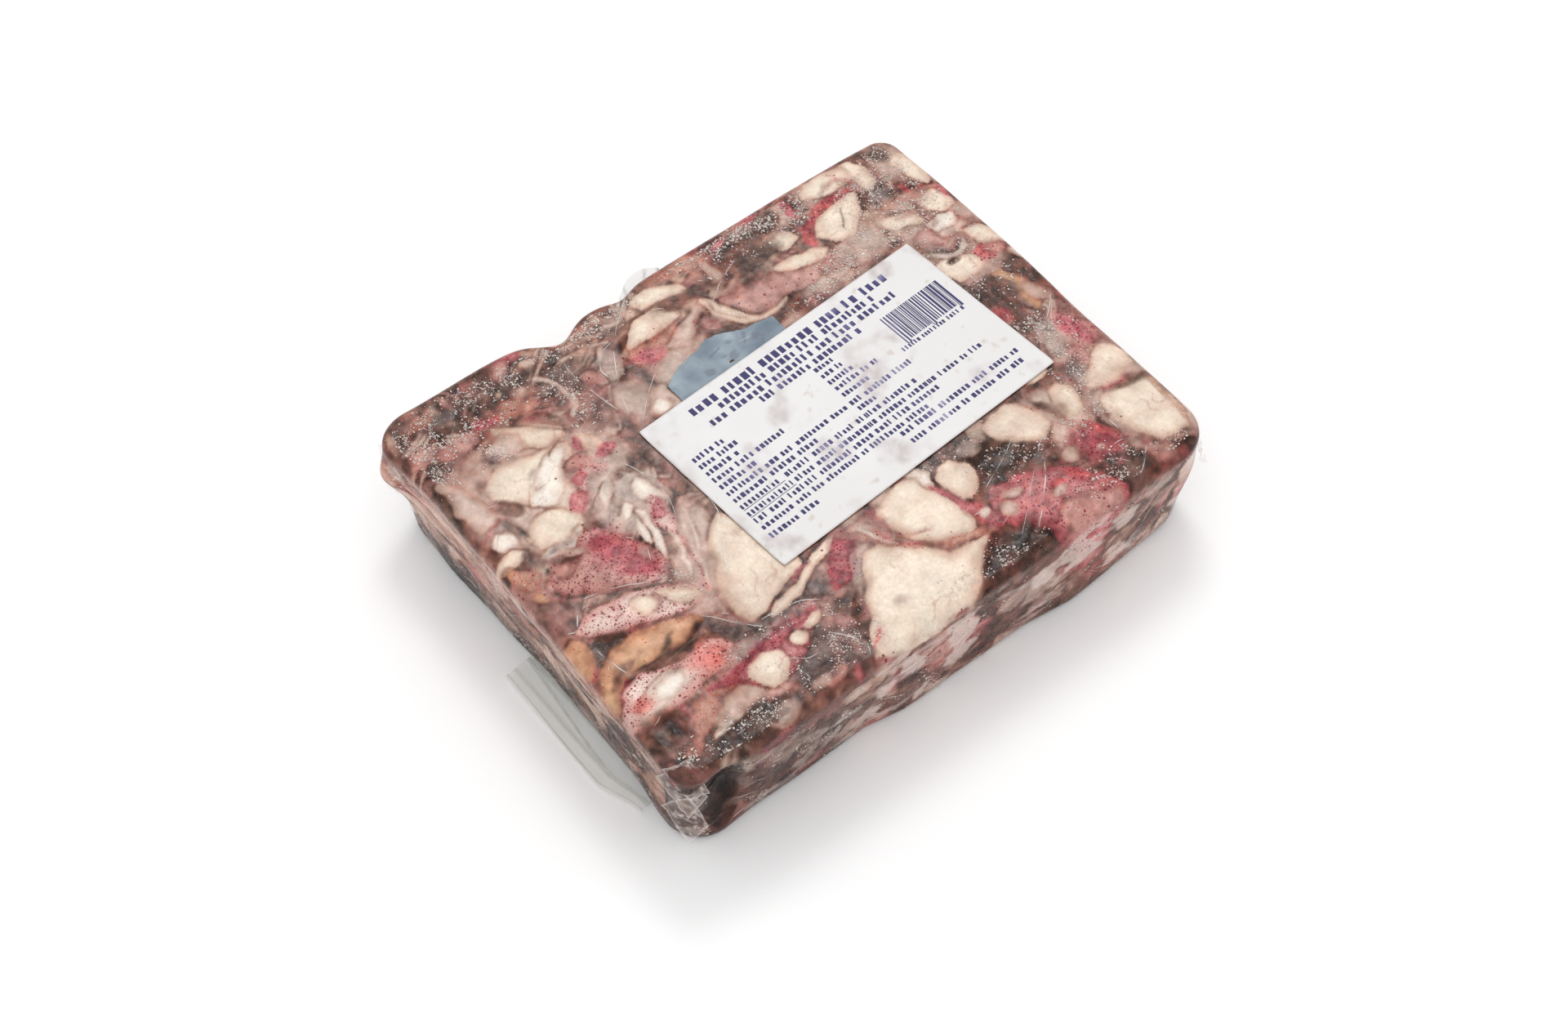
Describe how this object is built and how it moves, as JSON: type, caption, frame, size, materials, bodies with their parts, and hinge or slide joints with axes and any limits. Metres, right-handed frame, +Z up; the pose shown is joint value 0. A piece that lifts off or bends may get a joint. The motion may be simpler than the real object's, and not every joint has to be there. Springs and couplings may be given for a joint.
{
  "type": "film-wrapped frozen squid block",
  "caption": "Flat frozen block of small whole raw squid in clear film, with a paper label on top, a blue tag under the film and loose film ends.",
  "frame": {"origin": "middle of the flat underside, on the surface that the block rests on", "axes": "+Z up through the label, +X along the long side, +Y towards the side with the film notch"},
  "size_m": [0.1896, 0.1484, 0.0382],
  "materials": {
    "frozen_squid": "raw squid flesh and skin in ice under clear film, glossy and mottled",
    "label_paper": "white matt paper with abstract dark blue print marks",
    "tag_paper": "blue grey paper seen through film",
    "clear_film": "thin clear wrinkled film"
  },
  "bodies": {
    "root": {"frozen_block": "frozen_squid", "label": "label_paper", "blue_tag": "tag_paper", "film_tail_front": "clear_film", "film_tail_back": "clear_film"}
  },
  "joints": []
}
